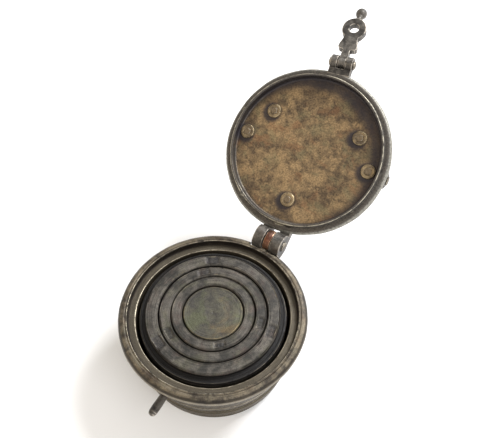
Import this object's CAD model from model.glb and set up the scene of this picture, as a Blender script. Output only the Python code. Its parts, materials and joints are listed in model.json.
import json
import math

import bmesh
import bpy
import numpy as np
from mathutils import Matrix, Vector, noise

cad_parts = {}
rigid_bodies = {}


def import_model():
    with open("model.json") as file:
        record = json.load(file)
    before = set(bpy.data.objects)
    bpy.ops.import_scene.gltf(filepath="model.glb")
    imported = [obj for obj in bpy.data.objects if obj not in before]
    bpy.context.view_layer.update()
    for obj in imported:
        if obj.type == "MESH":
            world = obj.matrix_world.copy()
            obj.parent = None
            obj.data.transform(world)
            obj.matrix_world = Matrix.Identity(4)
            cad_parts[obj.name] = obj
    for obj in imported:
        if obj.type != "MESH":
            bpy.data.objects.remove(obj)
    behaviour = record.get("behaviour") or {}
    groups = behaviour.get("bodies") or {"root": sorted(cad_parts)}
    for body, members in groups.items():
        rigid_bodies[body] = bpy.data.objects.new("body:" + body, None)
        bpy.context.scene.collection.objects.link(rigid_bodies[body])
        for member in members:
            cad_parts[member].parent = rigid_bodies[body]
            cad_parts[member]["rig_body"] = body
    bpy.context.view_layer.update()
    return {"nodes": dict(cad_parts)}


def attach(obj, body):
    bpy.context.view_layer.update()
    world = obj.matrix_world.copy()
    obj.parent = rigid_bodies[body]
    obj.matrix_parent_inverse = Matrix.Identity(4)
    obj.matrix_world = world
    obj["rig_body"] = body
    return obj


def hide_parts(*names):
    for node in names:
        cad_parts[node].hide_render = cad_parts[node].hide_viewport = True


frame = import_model()

# Pieces are drawn in millimetres in the closed nest's axes, then placed and brought to metres.
mm = 0.001
ledgeZ = 24.9
hinge = Vector((2.1, 33.1, 26.5))
openAngle = math.radians(-146)
asDrawn = Matrix.Identity(4)
asOpened = Matrix.Translation(hinge) @ Matrix.Rotation(openAngle, 4, "X") @ Matrix.Translation(-hinge)
onHandle = asOpened @ Matrix.Rotation(math.radians(-4), 4, "Z")
alongX = Matrix.Rotation(math.pi / 2, 4, "Y")
print("stage: frame loaded")


# ---- outlines and solids

def roundOutline(points, closed=False, step=0.5):
    count = len(points)
    rows = []
    for i, (x, y, fillet) in enumerate(points):
        here = Vector((x, y))
        if fillet <= 0 or (not closed and i in (0, count - 1)):
            rows.append(here)
            continue
        a = Vector(points[i - 1][:2]) - here
        b = Vector(points[(i + 1) % count][:2]) - here
        angle = a.angle(b)
        if angle > 3.1 or angle < 0.02:
            rows.append(here)
            continue
        cut = min(fillet / math.tan(angle / 2), a.length * 0.46, b.length * 0.46)
        radius = cut * math.tan(angle / 2)
        a.normalize()
        b.normalize()
        middle = here + (a + b).normalized() * (radius / math.sin(angle / 2))
        first, last = here + a * cut - middle, here + b * cut - middle
        for j in range(6):
            rows.append(middle + first.lerp(last, j / 5).normalized() * radius)
    dense = []
    pairs = list(zip(rows, rows[1:] + rows[:1])) if closed else list(zip(rows, rows[1:]))
    for p, q in pairs:
        parts = max(1, math.ceil((q - p).length / step))
        dense += [p.lerp(q, k / parts) for k in range(parts)]
    return dense if closed else dense + [rows[-1]]


def arc(cx, cy, radius, start, end, steps):
    turn = [math.radians(start + (end - start) * k / steps) for k in range(steps + 1)]
    return [(cx + radius * math.cos(t), cy + radius * math.sin(t), 0) for t in turn]


def join(bm, part, place):
    bmesh.ops.recalc_face_normals(part, faces=part.faces)
    bmesh.ops.transform(part, matrix=place, verts=part.verts)
    held = bpy.data.meshes.new("held")
    part.to_mesh(held)
    part.free()
    bm.from_mesh(held)
    bpy.data.meshes.remove(held)


def lathe(bm, outline, place=asDrawn, closed=False, segments=160, step=0.5):
    part = bmesh.new()
    verts = [part.verts.new((p.x, 0, p.y)) for p in roundOutline(outline, closed, step)]
    edges = [part.edges.new(pair) for pair in zip(verts, verts[1:])]
    if closed:
        edges.append(part.edges.new((verts[-1], verts[0])))
    bmesh.ops.spin(part, geom=verts + edges, cent=(0, 0, 0), axis=(0, 0, 1), dvec=(0, 0, 0),
                   angle=math.tau, steps=segments, use_merge=True, use_duplicate=False)
    bmesh.ops.remove_doubles(part, verts=part.verts, dist=0.0002)
    join(bm, part, place)


def prism(bm, outline, low, high, place=asDrawn):
    part = bmesh.new()
    face = part.faces.new([part.verts.new((p.x, p.y, low)) for p in roundOutline(outline, True, 1.0)])
    grown = bmesh.ops.extrude_face_region(part, geom=[face])["geom"]
    moved = [v for v in grown if isinstance(v, bmesh.types.BMVert)]
    bmesh.ops.translate(part, verts=moved, vec=(0, 0, high - low))
    join(bm, part, place)


def ball(bm, centre, radius, stretch=1.0):
    part = bmesh.new()
    bmesh.ops.create_uvsphere(part, u_segments=28, v_segments=16, radius=radius)
    join(bm, part, Matrix.Translation(centre) @ Matrix.Diagonal((1, 1, stretch, 1)))


def rod(bm, start, end, radii):
    a, b = Vector(start), Vector(end)
    length = (b - a).length
    turn = (b - a).to_track_quat("Z", "Y").to_matrix().to_4x4()
    rows = [(0, 0, 0)] + [(r, length * k / (len(radii) - 1), 0) for k, r in enumerate(radii)] + [(0, length, 0)]
    lathe(bm, rows, Matrix.Translation(a) @ turn, segments=24, step=1.0)


def acrossX(x0):
    return Matrix.Translation((x0, 0, 0)) @ alongX


def sideways(x0):
    # Turns an outline drawn as (y, z) so that it is extruded along X from x0
    return Matrix.Translation((x0, 0, 0)) @ Matrix(((0, 0, 1, 0), (1, 0, 0, 0), (0, 1, 0, 0), (0, 0, 0, 1)))


def fuse(bm, voxel, passes):
    mesh = bpy.data.meshes.new("rough")
    bm.to_mesh(mesh)
    carrier = bpy.data.objects.new("rough", mesh)
    bpy.context.scene.collection.objects.link(carrier)
    remesh = carrier.modifiers.new("remesh", "REMESH")
    remesh.mode = "VOXEL"
    remesh.voxel_size = voxel
    relax = carrier.modifiers.new("relax", "SMOOTH")
    relax.factor = 0.5
    relax.iterations = passes
    seen = carrier.evaluated_get(bpy.context.evaluated_depsgraph_get())
    result = bpy.data.meshes.new_from_object(seen)
    bm.clear()
    bm.from_mesh(result)
    bpy.data.objects.remove(carrier)
    bpy.data.meshes.remove(mesh)
    bpy.data.meshes.remove(result)


def dent(bm, depth, size, seed):
    bm.normal_update()
    shift = Vector((seed * 7.3, seed * 3.1, seed * 5.7))
    for v in bm.verts:
        v.co += v.normal * noise.noise(v.co / size + shift) * depth


def pressMark(bm, radius, angle, top, size, depth):
    # A worn, rectangular sunk mark with a raised figure in the middle
    a = math.radians(angle)
    across, along = Vector((math.cos(a), math.sin(a))), Vector((-math.sin(a), math.cos(a)))
    mark = bm.verts.layers.float.get("mark") or bm.verts.layers.float.new("mark")
    for v in bm.verts:
        if v.co.z < top - 0.6:
            continue
        flat = Vector((v.co.x, v.co.y))
        u, w = flat.dot(across) - radius, flat.dot(along)
        if flat.dot(across) < 0:
            continue
        inU = 1 - min(max((abs(u) - size[0] / 2 + 0.12) / 0.24, 0), 1)
        inW = 1 - min(max((abs(w) - size[1] / 2 + 0.12) / 0.24, 0), 1)
        figure = 0.55 * max(0, 1 - abs(abs(w) - size[1] * 0.16) / 0.35) * max(0, 1 - abs(u) / (size[0] * 0.4))
        v.co.z -= depth * inU * inW * (1 - figure)
        v[mark] = max(v[mark], inU * inW * (1 - 1.3 * figure))


def markEdges(mesh):
    count = len(mesh.vertices)
    spots = np.empty(count * 3, np.float32)
    mesh.vertices.foreach_get("co", spots)
    spots = spots.reshape(-1, 3)
    facing = np.empty(count * 3, np.float32)
    mesh.vertex_normals.foreach_get("vector", facing)
    facing = facing.reshape(-1, 3)
    ends = np.empty(len(mesh.edges) * 2, np.int32)
    mesh.edges.foreach_get("vertices", ends)
    a, b = ends.reshape(-1, 2).T
    span = spots[b] - spots[a]
    square = np.maximum((span * span).sum(1), 0.003)
    total, share = np.zeros(count), np.zeros(count)
    np.add.at(total, a, -2 * (facing[a] * span).sum(1) / square)
    np.add.at(total, b, 2 * (facing[b] * span).sum(1) / square)
    np.add.at(share, a, 1)
    np.add.at(share, b, 1)
    bend = total / np.maximum(share, 1)
    for k in range(2):
        total = bend * share
        np.add.at(total, a, bend[b])
        np.add.at(total, b, bend[a])
        bend = total / np.maximum(2 * share, 1)
    for name, sign in (("edge", 1), ("hollow", -1)):
        layer = mesh.attributes.new(name, "FLOAT", "POINT")
        layer.data.foreach_set("value", np.clip((sign * bend - 0.2) / 0.9, 0, 1).astype(np.float32))


def finishPiece(bm, name, node, place, material, cut=None):
    bm.normal_update()
    mesh = bpy.data.meshes.new(name)
    bm.to_mesh(mesh)
    bm.free()
    if cut is not None:
        mesh = carve(mesh, cut)
    local = np.empty(len(mesh.vertices) * 3, np.float32)
    mesh.vertices.foreach_get("co", local)
    mesh.attributes.new("local", "FLOAT_VECTOR", "POINT").data.foreach_set("vector", local)
    markEdges(mesh)
    mesh.transform(Matrix.Scale(mm, 4) @ place)
    mesh.polygons.foreach_set("use_smooth", [True] * len(mesh.polygons))
    mesh.materials.clear()
    mesh.materials.append(material)
    piece = bpy.data.objects.new(name, mesh)
    bpy.context.scene.collection.objects.link(piece)
    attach(piece, frame["nodes"][node]["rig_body"])
    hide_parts(node)
    print("piece:", name, len(mesh.polygons), "faces")
    return piece


def carve(mesh, cutter):
    knifeMesh = bpy.data.meshes.new("knife")
    cutter.to_mesh(knifeMesh)
    cutter.free()
    blank = bpy.data.objects.new("blank", mesh)
    knife = bpy.data.objects.new("knife", knifeMesh)
    for thing in (blank, knife):
        bpy.context.scene.collection.objects.link(thing)
    step = blank.modifiers.new("carve", "BOOLEAN")
    step.operation = "DIFFERENCE"
    step.solver = "EXACT"
    step.object = knife
    seen = blank.evaluated_get(bpy.context.evaluated_depsgraph_get())
    result = bpy.data.meshes.new_from_object(seen)
    bpy.data.objects.remove(blank)
    bpy.data.objects.remove(knife)
    bpy.data.meshes.remove(mesh)
    bpy.data.meshes.remove(knifeMesh)
    return result


# ---- metal

class Graph:
    def __init__(self, name):
        self.material = bpy.data.materials.new(name)
        self.material.use_nodes = True
        self.tree = self.material.node_tree
        self.shader = self.tree.nodes["Principled BSDF"]

    def add(self, kind, values=None, **settings):
        made = self.tree.nodes.new(kind)
        for key, value in settings.items():
            setattr(made, key, value)
        for key, value in (values or {}).items():
            self.feed(made.inputs[key], value)
        return made

    def feed(self, socket, value):
        if isinstance(value, bpy.types.NodeSocket):
            self.tree.links.new(value, socket)
        elif value is not None:
            socket.default_value = value

    def noise(self, where, scale, detail=4.0, rough=0.55, warp=0.0):
        made = self.add("ShaderNodeTexNoise", {"Vector": where, "Scale": scale, "Detail": detail,
                                               "Roughness": rough, "Distortion": warp})
        return made.outputs[0]

    def sum(self, kind, a, b=None, c=None, clamp=False):
        made = self.add("ShaderNodeMath", {0: a, 1: b, 2: c}, operation=kind)
        made.use_clamp = clamp
        return made.outputs[0]

    def span(self, value, low, high, newLow=0.0, newHigh=1.0):
        made = self.add("ShaderNodeMapRange", {"Value": value, "From Min": low, "From Max": high,
                                               "To Min": newLow, "To Max": newHigh})
        made.interpolation_type = "SMOOTHSTEP"
        return made.outputs[0]

    def mix(self, share, a, b, blend="MIX"):
        made = self.add("ShaderNodeMix", data_type="RGBA", blend_type=blend)
        self.feed(made.inputs[0], share)
        self.feed(made.inputs[6], a)
        self.feed(made.inputs[7], b)
        return made.outputs[2]

    def attribute(self, name, output):
        return self.add("ShaderNodeAttribute", attribute_name=name).outputs[output]


def tone(red, green, blue):
    def linear(c):
        c = c / 255
        return c / 12.92 if c <= 0.04045 else ((c + 0.055) / 1.055) ** 2.4
    return (linear(red), linear(green), linear(blue), 1.0)


def metal(name, look):
    g = Graph(name)
    where = g.attribute("local", "Vector")
    edge = g.attribute("edge", "Fac")
    hollow = g.attribute("hollow", "Fac")
    cut = g.add("ShaderNodeSeparateXYZ", {0: where}).outputs
    radius = g.sum("SQRT", g.sum("ADD", g.sum("MULTIPLY", cut[0], cut[0]), g.sum("MULTIPLY", cut[1], cut[1])))
    around = g.sum("ARCTAN2", cut[1], cut[0])
    cloud = g.noise(where, look.get("cloud", 0.11), 5, 0.6, 0.4)
    mottle = g.noise(where, look.get("mottle", 0.55), 6, 0.65, 0.3)
    speck = g.noise(where, look.get("speck", 3.2), 4, 0.7)
    # Turning marks follow the radius and the height
    wander = g.sum("MULTIPLY", g.noise(where, 0.09, 2), 0.35)
    track = g.add("ShaderNodeCombineXYZ", {0: g.sum("MULTIPLY", g.sum("ADD", radius, wander), 1.0),
                                           1: g.sum("MULTIPLY", cut[2], 1.0),
                                           2: g.sum("MULTIPLY", around, 0.35)}).outputs[0]
    rings = g.noise(track, 3.4, 3, 0.7)
    fineRings = g.noise(track, 9.0, 2, 0.6)
    blend = g.sum("ADD", g.sum("MULTIPLY", cloud, 0.55), g.sum("MULTIPLY", mottle, 0.45))
    colour = g.mix(g.span(blend, 0.40, 0.60), look["dark"], look["mid"])
    if "stain" in look:
        patch = g.noise(g.add("ShaderNodeVectorMath", {0: where, 1: (31, 17, 5)}, operation="ADD").outputs[0],
                        look.get("stainScale", 0.16), 4, 0.6, 0.5)
        share = g.sum("MULTIPLY", g.span(patch, 0.50, 0.66), look.get("stainShare", 0.6))
        colour = g.mix(share, colour, look["stain"])
    if "blush" in look:
        patch = g.noise(g.add("ShaderNodeVectorMath", {0: where, 1: (-13, 41, 9)}, operation="ADD").outputs[0],
                        look.get("blushScale", 0.2), 4, 0.6, 0.5)
        share = g.sum("MULTIPLY", g.span(patch, 0.52, 0.68), look.get("blushShare", 0.6))
        colour = g.mix(share, colour, look["blush"])
    for kind, low, high, shade, share in look.get("bands", []):
        measure = g.sum("ADD", radius if kind == "radius" else cut[2], g.sum("MULTIPLY", mottle, 0.5))
        inside = g.sum("MULTIPLY", g.span(measure, low, low + 0.5), g.span(measure, high + 0.5, high))
        inside = g.sum("MULTIPLY", inside, g.span(cloud, 0.25, 0.5, share * 0.8, share))
        colour = g.mix(inside, colour, shade)
    pressed = g.sum("MULTIPLY", g.attribute("mark", "Fac"), g.span(speck, 0.36, 0.62, 0.9, 0.3))
    colour = g.mix(pressed, colour, tone(34, 33, 36))
    turned = look.get("turned", 0.3)
    lift = g.span(rings, 0.3, 0.7, 1.0 - turned, 1.0 + turned)
    colour = g.mix(1.0, colour, g.add("ShaderNodeCombineXYZ", {0: lift, 1: lift, 2: lift}).outputs[0], "MULTIPLY")
    grit = g.span(speck, 0.32, 0.62, 1.0 - look.get("grit", 0.3), 1.12)
    colour = g.mix(1.0, colour, g.add("ShaderNodeCombineXYZ", {0: grit, 1: grit, 2: grit}).outputs[0], "MULTIPLY")
    worn = g.sum("MULTIPLY", g.span(edge, look.get("wearFrom", 0.25), 0.95), g.span(mottle, 0.34, 0.58))
    worn = g.sum("MULTIPLY", worn, look.get("wear", 0.8), clamp=True)
    colour = g.mix(worn, colour, look["bright"])
    grime = g.sum("MULTIPLY", g.span(hollow, 0.05, 0.8), look.get("grime", 0.8), clamp=True)
    colour = g.mix(grime, colour, look.get("soil", tone(26, 19, 15)))
    if "shade" in look:
        # A darker band near the lid's wall
        lean = g.sum("ADD", g.sum("MULTIPLY", cut[0], 0.075), g.sum("MULTIPLY", cut[1], -0.11))
        reach = g.sum("ADD", g.sum("ADD", radius, lean), g.sum("MULTIPLY", mottle, 2.6))
        band = g.sum("MULTIPLY", g.span(reach, 23.3, 27.2), g.span(radius, 26.2, 25.5))
        colour = g.mix(g.sum("MULTIPLY", band, look["shadeShare"]), colour, look["shade"])
    for x, y in look.get("spots", []):
        # Dirt gathered round each rove, more on the side towards the hinge
        away = g.add("ShaderNodeVectorMath", {0: where, 1: (x - 0.7, y + 0.8, 28.0)}, operation="DISTANCE").outputs[1]
        colour = g.mix(g.span(away, 4.3, 2.5, 0.0, 0.9), colour, look["shade"])
    rough = g.sum("ADD", g.span(mottle, 0.3, 0.7, look["rough"] - 0.09, look["rough"] + 0.10),
                  g.sum("MULTIPLY", worn, -0.10), clamp=True)
    rough = g.sum("ADD", rough, g.sum("MULTIPLY", grime, 0.25), clamp=True)
    height = g.sum("ADD", g.sum("MULTIPLY", fineRings, look.get("ringBump", 0.35)),
                   g.sum("MULTIPLY", mottle, look.get("pits", 0.5)))
    height = g.sum("ADD", height, g.sum("MULTIPLY", g.span(speck, 0.3, 0.5), 0.22))
    bump = g.add("ShaderNodeBump", {"Height": height, "Strength": look.get("bump", 0.5), "Distance": 0.00028})
    g.feed(g.shader.inputs["Base Color"], colour)
    g.feed(g.shader.inputs["Roughness"], rough)
    g.feed(g.shader.inputs["Metallic"], g.sum("ADD", g.sum("MULTIPLY", worn, 0.3), look["metallic"], clamp=True))
    g.feed(g.shader.inputs["Normal"], bump.outputs[0])
    return g.material


caseMetal = metal("caseMetal", {
    "dark": tone(58, 52, 45), "mid": tone(117, 107, 90), "bright": tone(184, 174, 153),
    "stain": tone(84, 68, 51), "stainShare": 0.4, "blush": tone(79, 79, 64), "blushShare": 0.3,
    "bands": [("height", 0.0, 2.9, tone(58, 53, 46), 0.75), ("height", 3.4, 6.2, tone(142, 134, 118), 0.6),
              ("height", 6.6, 10.0, tone(228, 221, 206), 0.88), ("height", 10.4, 23.6, tone(30, 27, 23), 0.8),
              ("height", 24.2, 25.8, tone(150, 142, 126), 0.55), ("height", 25.85, 26.65, tone(36, 31, 26), 0.8),
              ("radius", 23.6, 26.9, tone(80, 73, 61), 1.0), ("radius", 26.8, 27.35, tone(34, 28, 23), 0.95)],
    "turned": 0.2, "grit": 0.3, "rough": 0.44, "metallic": 0.62, "wear": 0.85, "grime": 0.85})
weightLook = {
    "dark": tone(49, 47, 43), "mid": tone(92, 87, 80), "bright": tone(155, 145, 125),
    "stain": tone(88, 86, 66), "stainShare": 0.35, "blush": tone(77, 65, 59), "blushShare": 0.6,
    "turned": 0.36, "grit": 0.45, "rough": 0.5, "metallic": 0.5, "wearFrom": 0.14, "wear": 0.95, "grime": 0.95}
weightMetal = metal("weightMetal", weightLook)
largeMetal = metal("largeMetal", weightLook | {"bands": [("height", 24.2, 25.9, tone(20, 18, 17), 1.0)]})
coreMetal = metal("coreMetal", {
    "dark": tone(61, 58, 54), "mid": tone(86, 83, 70), "bright": tone(159, 141, 102),
    "stain": tone(85, 88, 63), "stainShare": 0.6, "stainScale": 0.13, "blush": tone(105, 89, 61),
    "blushShare": 0.6, "blushScale": 0.11, "turned": 0.2, "grit": 0.42, "rough": 0.5, "metallic": 0.5,
    "wear": 0.9, "grime": 0.9})
lidMetal = metal("lidMetal", {
    "dark": tone(88, 73, 56), "mid": tone(152, 127, 92), "bright": tone(214, 206, 184),
    "stain": tone(124, 114, 84), "stainShare": 0.5, "stainScale": 0.14, "blush": tone(134, 98, 68),
    "blushShare": 0.55, "blushScale": 0.17, "shade": tone(46, 42, 47), "shadeShare": 0.84,
    "bands": [("radius", 25.2, 40.0, tone(78, 75, 71), 0.92), ("radius", 28.3, 40.0, tone(160, 157, 147), 0.8)],
    "spots": [(22.44, -1.57), (-22.44, 1.57), (-16.54, -8.67), (15.18, -10.89), (1.25, 17.86)],
    "turned": 0.06, "grit": 0.5, "mottle": 0.42, "speck": 1.7, "rough": 0.52, "metallic": 0.5,
    "wear": 0.8, "grime": 0.8, "pits": 0.9, "ringBump": 0.1})
fittingMetal = metal("fittingMetal", {
    "dark": tone(58, 55, 52), "mid": tone(108, 103, 96), "bright": tone(198, 188, 174),
    "stain": tone(88, 70, 58), "stainShare": 0.35, "turned": 0.0, "grit": 0.35, "rough": 0.44,
    "metallic": 0.6, "wear": 0.75, "grime": 0.85, "wearFrom": 0.35})
tongueMetal = metal("tongueMetal", {
    "dark": tone(84, 58, 46), "mid": tone(140, 102, 78), "bright": tone(222, 186, 156),
    "stain": tone(110, 46, 28), "stainShare": 0.6, "turned": 0.0, "grit": 0.3, "rough": 0.42,
    "metallic": 0.7, "wear": 0.8, "grime": 0.8, "soil": tone(66, 20, 14)})
postMetal = metal("postMetal", {
    "dark": tone(60, 55, 52), "mid": tone(104, 97, 88), "bright": tone(198, 188, 174),
    "bands": [("height", 20.0, 28.3, tone(116, 100, 78), 0.9)], "turned": 0.1, "grit": 0.35, "rough": 0.44,
    "metallic": 0.6, "wear": 0.75, "grime": 0.55, "soil": tone(52, 42, 32)})
roveMetal = metal("roveMetal", {
    "dark": tone(92, 79, 62), "mid": tone(150, 130, 98), "bright": tone(216, 196, 156),
    "turned": 0.0, "grit": 0.35, "rough": 0.46, "metallic": 0.55, "wear": 0.7, "grime": 0.8})
pinMetal = metal("pinMetal", {
    "dark": tone(86, 79, 70), "mid": tone(134, 124, 108), "bright": tone(216, 206, 188),
    "turned": 0.0, "grit": 0.3, "rough": 0.42, "metallic": 0.7, "wear": 0.75, "grime": 0.75})
print("stage: metals made")


# ---- the case

caseLook = {"segments": 224, "step": 0.45, "dent": 0.09, "notchFrom": 28.1, "notch": (1.05, 5.45)}
bm = bmesh.new()
lathe(bm, [(0, 0, 0), (23.7, 0, 0.3), (24.3, 0.35, 0.3), (24.6, 1.2, 0.4), (24.5, 2.5, 0.25), (23.95, 2.95, 0.15),
           (24.0, 3.25, 0.12), (24.85, 3.5, 0.25), (25.35, 4.3, 0.6), (25.3, 5.6, 0.5), (24.95, 6.25, 0.2),
           (24.3, 6.5, 0.15), (24.3, 7.3, 0.15), (25.1, 7.6, 0.2), (25.35, 8.3, 0.3), (25.45, 10.0, 0.2),
           (25.2, 10.2, 0.08), (25.2, 10.5, 0.08), (25.5, 10.75, 0.12), (26.15, 18.0, 0.08), (25.9, 18.15, 0.06),
           (25.93, 18.4, 0.06), (26.2, 18.55, 0.08), (26.27, 19.3, 0.08), (26.03, 19.45, 0.06), (26.06, 19.7, 0.06),
           (26.33, 19.85, 0.08), (26.55, 22.1, 0.5), (27.0, 23.3, 0.3)]
      + arc(28.1, 25.1, 1.9, -72, 78, 18)
      + [(28.0, 26.98, 0.1), (27.75, 26.8, 0.1), (27.55, 26.93, 0.1), (27.2, 26.95, 0.2), (26.97, 26.7, 0.12),
         (26.95, ledgeZ, 0.18), (24.7, ledgeZ, 0.25), (24.5, 24.6, 0.2), (23.9, 6.6, 0.6), (23.2, 6.0, 0.2),
         (0, 6, 0)],
      segments=caseLook["segments"], step=caseLook["step"])
dent(bm, caseLook["dent"], 9.0, 1)
dent(bm, 0.035, 2.2, 2)
notches = bmesh.new()
for side in (-1, 1):
    near, far = caseLook["notch"]
    prism(notches, [(caseLook["notchFrom"], 22.6, 0), (34, 22.6, 0), (34, 30, 0), (caseLook["notchFrom"], 30, 0)],
          near if side > 0 else -far, far if side > 0 else -near, sideways(hinge.x))
bmesh.ops.recalc_face_normals(notches, faces=notches.faces)
finishPiece(bm, "caseBody", "case", asDrawn, caseMetal, cut=notches)

tongueLook = {"width": 2.4, "knuckle": 3.45, "crown": 3.6, "bore": 1.15, "voxel": 0.13}
bm = bmesh.new()
half = tongueLook["width"] / 2
bore, knuckle = tongueLook["bore"], tongueLook["knuckle"]
lathe(bm, [(bore, -half, 0), (knuckle, -half, 0.2), (tongueLook["crown"], 0, 0), (knuckle, half, 0.2),
           (bore, half, 0)],
      Matrix.Translation(hinge) @ acrossX(0), closed=True, segments=48)
prism(bm, [(25.6, 16.2, 0.4), (27.6, 16.8, 0.6), (34.3, 23.6, 0.6), (33.0, 24.6, 0), (31.6, 25.4, 0),
           (26.4, 22.4, 0)],
      -half, half, sideways(hinge.x))
plate = [(-4.7, 16.1, 1.2), (4.7, 16.1, 1.2), (4.7, 21.4, 0.8), (-4.7, 21.4, 0.8)]
prism(bm, plate, 25.5, 27.75, Matrix.Translation((hinge.x, 0, 0)) @ Matrix.Rotation(math.pi / 2, 4, "X")
      @ Matrix.Scale(-1, 4, (0, 0, 1)))
fuse(bm, tongueLook["voxel"], 4)
finishPiece(bm, "hingeTongue", "case_hinge_tongue", asDrawn, tongueMetal)

pegLook = {"x": -1.1, "height": 15.39, "root": 25.0, "voxel": 0.1}
bm = bmesh.new()
atPeg = Matrix.Translation((pegLook["x"], -pegLook["root"], pegLook["height"])) @ Matrix.Rotation(math.pi / 2, 4, "X")
lathe(bm, [(0, 0, 0), (1.25, 0, 0), (1.3, 3.0, 0.5), (1.4, 6.5, 0.8), (1.35, 8.4, 0.6), (1.0, 9.3, 0.5),
           (0, 9.75, 0)],
      atPeg @ Matrix.Diagonal((1, 0.78, 1, 1)), segments=32)
lathe(bm, [(0, 0.3, 0), (2.0, 0.3, 0), (2.0, 1.1, 0.2), (1.4, 1.5, 0.2), (0, 1.5, 0)], atPeg, segments=32)
fuse(bm, pegLook["voxel"], 4)
finishPiece(bm, "catchPeg", "catch_peg", asDrawn, fittingMetal)
print("stage: case made")


# ---- the four weights

cupLook = {"taper": 0.04, "segments": 256, "step": 0.38, "mark": 0.32}
floors = [6.0, 7.0, 10.2, 11.2]
bores = [17.45, 13.57, 9.9]
rims = [26.7, 26.3, 26.45, 26.15]


def narrowed(radius, top, z):
    return radius - cupLook["taper"] * (top - z)


def scoredTop(outer, inner, top):
    # The flat of a rim, from the outside in, with two light turned lines
    wide = outer - inner
    rows = [(outer, top - 0.35, 0.1), (outer - 0.3, top, 0.12)]
    for share in (0.12, 0.86):
        r = outer - wide * share
        rows += [(r + 0.16, top, 0.03), (r, top - 0.12, 0.03), (r - 0.16, top, 0.03)]
    return rows + [(inner + 0.28, top, 0.12), (inner, top - 0.33, 0.1)]


bm = bmesh.new()
top = rims[0]
lathe(bm, [(0, 6, 0), (22.1, 6, 0.3), (22.75, 6.6, 0.3), (23.5, 24.4, 0.1), (23.2, 24.85, 0.12), (22.6, 24.9, 0.05),
           (22.45, 24.75, 0.05), (22.3, 24.9, 0.05), (21.5, 24.9, 0.1), (21.33, 25.1, 0.1)]
      + scoredTop(21.35, bores[0], top)
      + [(narrowed(bores[0], top, 7.6), 7.6, 0.5), (narrowed(bores[0], top, 7) - 0.6, 7, 0.3), (0, 7, 0)],
      segments=cupLook["segments"], step=cupLook["step"])
dent(bm, 0.07, 7.0, 3)
for angle in (122, 9.5, 243):
    pressMark(bm, (21.35 + bores[0]) / 2, angle, top, (2.6, 4.4), cupLook["mark"])
finishPiece(bm, "cupLarge", "cup_large", asDrawn, largeMetal)

marksAt = {"cup_medium": (133, 16, 239), "cup_small": (-48,)}
for index, node in ((1, "cup_medium"), (2, "cup_small")):
    bm = bmesh.new()
    top, low, base = rims[index], floors[index], floors[index + 1]
    outer, inner = bores[index - 1] - 0.4, bores[index]
    lathe(bm, [(0, low, 0), (narrowed(outer, top, low) - 0.6, low, 0.3), (narrowed(outer, top, low + 0.6),
               low + 0.6, 0.3)]
          + scoredTop(outer, inner, top)
          + [(narrowed(inner, top, base + 0.6), base + 0.6, 0.5), (narrowed(inner, top, base) - 0.6, base, 0.3),
             (0, base, 0)], segments=cupLook["segments"], step=cupLook["step"])
    dent(bm, 0.06, 6.0, 4 + index)
    for angle in marksAt[node]:
        pressMark(bm, (outer + inner) / 2, angle, top, (2.2, 4.0) if index == 1 else (1.9, 3.6), cupLook["mark"])
    finishPiece(bm, "cupMedium" if index == 1 else "cupSmall", node, asDrawn, weightMetal)

bm = bmesh.new()
top, low, wide = rims[3], floors[3], bores[2] - 0.4
lathe(bm, [(0, low, 0), (narrowed(wide, top, low) - 0.6, low, 0.3), (narrowed(wide, top, low + 0.6),
           low + 0.6, 0.3),
           (wide, top - 0.35, 0.12), (wide - 0.3, top, 0.15), (wide - 0.9, top - 0.02, 0.05),
           (wide - 1.05, top - 0.12, 0.05),
           (wide - 1.2, top - 0.05, 0.05), (0.4, top - 0.1, 0.2), (0.2, top - 0.25, 0.1), (0, top - 0.25, 0)],
      segments=cupLook["segments"], step=cupLook["step"])
dent(bm, 0.09, 4.0, 9)
finishPiece(bm, "coreWeight", "core_weight", asDrawn, coreMetal)
print("stage: weights made")


# ---- the lid, drawn closed and swung open

lidLook = {"segments": 224, "step": 0.45}
bm = bmesh.new()
lathe(bm, [(0, 28.3, 0), (25.0, 28.3, 0.3), (25.65, 27.8, 0.35), (25.7, 25.3, 0.12), (25.9, 25.15, 0.15),
           (26.4, 25.15, 0.2), (26.55, 25.4, 0.15), (26.55, 27.0, 0.12), (26.7, 27.12, 0.05), (27.4, 27.1, 0.1)]
      + arc(27.55, 28.55, 1.45, -85, 85, 16)
      + [(27.3, 29.85, 0.2), (26.8, 29.6, 0.15), (26.3, 29.65, 0.15), (26.1, 30.3, 0.25), (25.7, 30.6, 0.3),
         (24.4, 30.6, 0.3),
         (23.6, 30.25, 0.3), (14.0, 30.82, 2.0), (0, 31.0, 0)],
      segments=lidLook["segments"], step=lidLook["step"])
dent(bm, 0.16, 8.0, 11)
dent(bm, 0.05, 2.0, 12)
finishPiece(bm, "lidShell", "lid", asOpened, lidMetal)

lugLook = {"inner": 1.45, "outer": 5.05, "voxel": 0.12}
bm = bmesh.new()
for side in (-1, 1):
    x0 = lugLook["inner"] if side > 0 else -lugLook["outer"]
    wide = lugLook["outer"] - lugLook["inner"]
    spot = Matrix.Translation(hinge) @ sideways(x0)
    prism(bm, arc(0, 0, 4.0, 90, 360, 30)[:-1] + arc(0, 0, 5.2, 0, 90, 14), 0, wide, spot)
    prism(bm, [(-6.0, 2.2, 0.4), (0.4, 1.2, 0), (0.4, 5.2, 0.5), (-6.0, 5.2, 0.5)], 0, wide, spot)
prism(bm, [(23.3, 30.75, 0.3), (28.9, 30.75, 0), (28.9, 31.7, 0.3),
           (23.6, 31.7, 0.4)], -5.05, 5.05, sideways(hinge.x))
prism(bm, [(26.6, 29.8, 0), (28.6, 29.8, 0), (28.6, 31.3, 0), (26.6, 31.3, 0)], -5.05, 5.05, sideways(hinge.x))
fuse(bm, lugLook["voxel"], 5)
dent(bm, 0.06, 2.4, 13)
finishPiece(bm, "hingeLug", "lid_hinge_lug", asOpened, fittingMetal)

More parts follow.
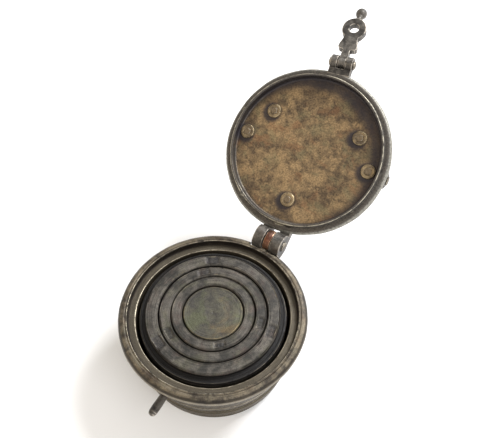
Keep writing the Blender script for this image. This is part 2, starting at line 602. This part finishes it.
bm = bmesh.new()
lathe(bm, [(0, -5.85, 0), (0.7, -5.83, 0.1), (1.55, -5.6, 0.3), (1.8, -5.25, 0.15), (1.75, -5.05, 0.1),
           (1.1, -5.0, 0),
           (1.1, 5.0, 0), (1.75, 5.05, 0.1), (1.8, 5.25, 0.15), (1.55, 5.6, 0.3), (0.7, 5.83, 0.1), (0, 5.85, 0)],
      Matrix.Translation(hinge) @ acrossX(0), segments=48, step=0.25)
dent(bm, 0.08, 0.9, 14)
finishPiece(bm, "hingePin", "hinge_pin", asDrawn, pinMetal)

earLook = {"inner": 1.5, "outer": 3.9, "voxel": 0.11}
atHasp = Matrix.Translation((-1.5, -32.6, 28.5)) @ Matrix.Rotation(math.radians(-8), 4, "Z")
bm = bmesh.new()
for side in (-1, 1):
    x0 = earLook["inner"] if side > 0 else -earLook["outer"]
    wide = earLook["outer"] - earLook["inner"]
    prism(bm, arc(0, 0, 2.5, 0, 360, 40)[:-1], 0, wide, sideways(x0))
    prism(bm, [(0, -1.3, 0), (4.6, -1.3, 0.2), (4.6, 1.5, 0.2), (0, 1.9, 0)], 0, wide, sideways(x0))
prism(bm, [(2.25, -1.3, 0.2), (4.6, -1.3, 0), (4.6, 1.5, 0.2), (2.25, 1.5, 0.3)], -3.9, 3.9, sideways(0))
fuse(bm, earLook["voxel"], 4)
dent(bm, 0.05, 1.8, 15)
finishPiece(bm, "haspLug", "hasp_lug", asOpened @ atHasp, fittingMetal)

bm = bmesh.new()
lathe(bm, [(0, -4.8, 0), (0.6, -4.78, 0.1), (1.3, -4.55, 0.25), (1.5, -4.2, 0.1), (1.45, -3.9, 0.05),
           (0.85, -3.85, 0),
           (0.85, 3.85, 0), (1.45, 3.9, 0.05), (1.5, 4.2, 0.1), (1.3, 4.55, 0.25), (0.6, 4.78, 0.1), (0, 4.8, 0)],
      acrossX(0), segments=40, step=0.25)
dent(bm, 0.06, 0.8, 16)
finishPiece(bm, "haspPin", "hasp_pin", asOpened @ atHasp, pinMetal)

haspLook = {"droop": -12, "thick": 2.7, "reach": 13.4, "eye": 1.7, "plate": 4.2, "voxel": 0.11}
bm = bmesh.new()
t = haspLook["thick"] / 2
far = haspLook["reach"]
lathe(bm, [(0.9, -1.35, 0), (2.0, -1.35, 0.15), (2.0, 1.35, 0.15), (0.9, 1.35, 0)], acrossX(0),
           closed=True, segments=40)
tail = [(1.3, -4.9, 0.4), (2.7, -5.0, 0.4), (3.35, -5.6, 0.6), (3.2, -6.9, 0.6), (2.55, -9.0, 0.6), (2.6, -11, 0)]
prism(bm, [(-1.35, -1.6, 0), (1.35, -1.6, 0)] + tail + [(-x, y, f) for x, y, f in reversed(tail)], -t, t)
lathe(bm, [(haspLook["eye"], -t, 0.15), (haspLook["plate"], -t, 0.25), (haspLook["plate"], t, 0.25),
           (haspLook["eye"], t, 0.15)], Matrix.Translation((0, -far, 0)), closed=True, segments=64)
rod(bm, (0, -far - 3.4, 0), (0, -20.3, 1.3), [1.35, 1.0, 0.95, 1.3, 1.0])
ball(bm, (0, -21.1, 1.3), 2.0, 0.95)
fuse(bm, haspLook["voxel"], 3)
dent(bm, 0.06, 2.2, 17)
droop = Matrix.Rotation(math.radians(haspLook["droop"]), 4, "X")
finishPiece(bm, "haspStrap", "hasp", asOpened @ atHasp @ droop, fittingMetal)
print("stage: lid and hasp made")


# ---- posts, studs and handle

handleLook = {"post": 22.5, "pivot": 34.5, "shoulder": (15.9, 9.8), "reach": 17.9}
pivotZ = handleLook["pivot"]
for side, node in ((-1, "bail_post_left"), (1, "bail_post_right")):
    bm = bmesh.new()
    lathe(bm, [(0, 27.3, 0), (0.35, 27.3, 0.1), (0.8, 27.27, 0.1), (1.12, 27.35, 0.1), (1.2, 27.6, 0.05),
               (1.2, 30.4, 0),
               (2.55, 30.55, 0.1), (2.6, 30.8, 0.15), (2.1, 31.25, 0.2), (1.55, 31.5, 0.2), (1.4, 32.2, 0.4),
               (1.6, 32.7, 0.2)]
          + arc(0, pivotZ, 2.05, -48, 80, 14) + [(0, pivotZ + 2.05, 0)], segments=64, step=0.25)
    dent(bm, 0.05, 1.5, 18)
    finishPiece(bm, "post" + ("Left" if side < 0 else "Right"), node,
                onHandle @ Matrix.Translation((side * handleLook["post"], 0, 0)), postMetal)

bm = bmesh.new()
for turn in (asDrawn, Matrix.Rotation(math.pi, 4, "Z")):
    lathe(bm, [(0, 20.2, 0), (0.8, 20.22, 0.2), (1.1, 20.5, 0.1), (1.1, 28.6, 0), (1.6, 28.62, 0.05),
               (1.7, 28.8, 0.1),
               (1.5, 29.05, 0.15), (0, 29.2, 0)], turn @ Matrix.Translation((0, 0, pivotZ)) @ acrossX(0),
          segments=40, step=0.25)
dent(bm, 0.04, 0.8, 19)
finishPiece(bm, "handlePins", "bail_pins", onHandle, pinMetal)

studs = {"rest_stud_left": (-15.9, -9.8, 32.5), "rest_stud_right": (15.9, -9.8, 32.5),
         "rest_stud_back": (0, 17.9, 31.8)}
studNames = {"rest_stud_left": "studLeft", "rest_stud_right": "studRight", "rest_stud_back": "studBack"}
for node, (x, y, top) in studs.items():
    bm = bmesh.new()
    lathe(bm, [(0, 27.3, 0), (0.35, 27.3, 0.1), (0.8, 27.27, 0.1), (1.12, 27.35, 0.1), (1.2, 27.6, 0.05),
               (1.2, 30.8, 0),
               (2.2, 30.95, 0.1), (2.35, 31.15, 0.15), (2.3, top - 0.55, 0.2), (1.7, top - 0.05, 0.2), (0, top, 0)],
          segments=56, step=0.25)
    dent(bm, 0.05, 1.4, 20)
    finishPiece(bm, studNames[node], node, onHandle @ Matrix.Translation((x, y, 0)), postMetal)

bm = bmesh.new()
for x, y in ((22.5, 0), (-22.5, 0), (-15.9, -9.8), (15.9, -9.8), (0, 17.9)):
    lathe(bm, [(1.2, 28.35, 0), (2.5, 28.35, 0), (2.52, 28.0, 0.2), (2.35, 27.62, 0.3), (1.95, 27.46, 0.2),
               (1.45, 27.52, 0.15), (1.2, 27.62, 0)], Matrix.Translation((x, y, 0)),
               closed=True, segments=64, step=0.2)
dent(bm, 0.07, 2.0, 21)
finishPiece(bm, "rivetRoves", "rivet_roves", onHandle, roveMetal)

bm = bmesh.new()
shoulderX, shoulderY = handleLook["shoulder"]
for side in (-1, 1):
    lathe(bm, [(1.15, 25.3, 0), (2.7, 25.3, 0.3), (3.2, 25.9, 0.4), (3.2, 27.9, 0.4), (2.6, 28.5, 0.3),
               (1.15, 28.5, 0)],
          (asDrawn if side > 0 else Matrix.Rotation(math.pi, 4, "Z")) @ acrossX(0), closed=True, segments=48)
    bend = (side * shoulderX, shoulderY, 0)
    rod(bm, (side * 26.4, 1.8, 0), bend, [1.25, 1.2, 1.3, 1.45, 1.5])
    ball(bm, bend, 1.9)
    rod(bm, bend, (0, handleLook["reach"], 0), [1.5, 1.35, 1.25, 1.35, 1.7])
ball(bm, (0, handleLook["reach"], 0), 2.6)
fuse(bm, 0.16, 4)
dent(bm, 0.06, 2.4, 22)
hang = Matrix.Translation((0, 0, pivotZ)) @ Matrix.Rotation(math.radians(56), 4, "X")
finishPiece(bm, "bailHandle", "bail", onHandle @ hang, fittingMetal)
print("stage: handle made")


# ---- floor, light and camera

floorLook = {"size": 1.6, "tone": tone(243, 243, 243)}
bm = bmesh.new()
bmesh.ops.create_grid(bm, x_segments=8, y_segments=8, size=floorLook["size"])
floorMesh = bpy.data.meshes.new("floor")
bm.to_mesh(floorMesh)
bm.free()
paper = Graph("paper")
grain = paper.noise(paper.add("ShaderNodeTexCoord").outputs["Object"], 420.0, 3)
paper.feed(paper.shader.inputs["Base Color"], floorLook["tone"])
paper.feed(paper.shader.inputs["Roughness"], 0.9)
paper.feed(paper.shader.inputs["Specular IOR Level"], 0.1)
paper.feed(paper.shader.inputs["Normal"], paper.add("ShaderNodeBump", {"Height": grain, "Strength": 0.05,
                                                                       "Distance": 0.0002}).outputs[0])
floorMesh.materials.append(paper.material)
floor = bpy.data.objects.new("floor", floorMesh)
bpy.context.scene.collection.objects.link(floor)

scene = bpy.context.scene
scene.view_settings.view_transform = "Standard"
scene.view_settings.look = "None"
scene.view_settings.exposure = 0.0

lens = {"place": (0.0601092, -0.0827332, 0.2104179), "turn": (0.915536, 0.306952, 0.079389, 0.247533),
        "focal": 47.4765}
camData = bpy.data.cameras.new("camera")
camData.sensor_fit = "HORIZONTAL"
camData.sensor_width = 36.0
camData.lens = lens["focal"]
camData.clip_start = 0.01
camera = bpy.data.objects.new("camera", camData)
camera.rotation_mode = "QUATERNION"
camera.location = lens["place"]
camera.rotation_quaternion = lens["turn"]
bpy.context.scene.collection.objects.link(camera)
scene.camera = camera

world = bpy.data.worlds.new("room")
scene.world = world
world.use_nodes = True
world.node_tree.nodes["Background"].inputs[0].default_value = (1.0, 0.975, 0.93, 1)
world.node_tree.nodes["Background"].inputs[1].default_value = 0.64


def softLight(name, place, aim, size, power, colour):
    data = bpy.data.lights.new(name, "AREA")
    data.shape = "RECTANGLE"
    data.size, data.size_y = size
    data.energy = power
    data.color = colour
    lamp = bpy.data.objects.new(name, data)
    lamp.location = place
    lamp.rotation_mode = "QUATERNION"
    lamp.rotation_quaternion = (Vector(aim) - Vector(place)).to_track_quat("-Z", "Y")
    bpy.context.scene.collection.objects.link(lamp)


softLight("window", (0.22, 0.62, 0.66), (0.0, 0.03, 0.01), (0.36, 0.36), 11.5, (0.95, 0.97, 1.0))
softLight("room", (0.55, -0.25, 0.6), (0.0, 0.03, 0.01), (0.6, 0.6), 3.4, (0.97, 0.97, 1.0))
softLight("lamp", (-0.42, -0.5, 0.45), (-0.05, -0.08, 0.0), (0.5, 0.5), 1.3, (1.0, 0.78, 0.48))
print("stage: floor, light and camera made")
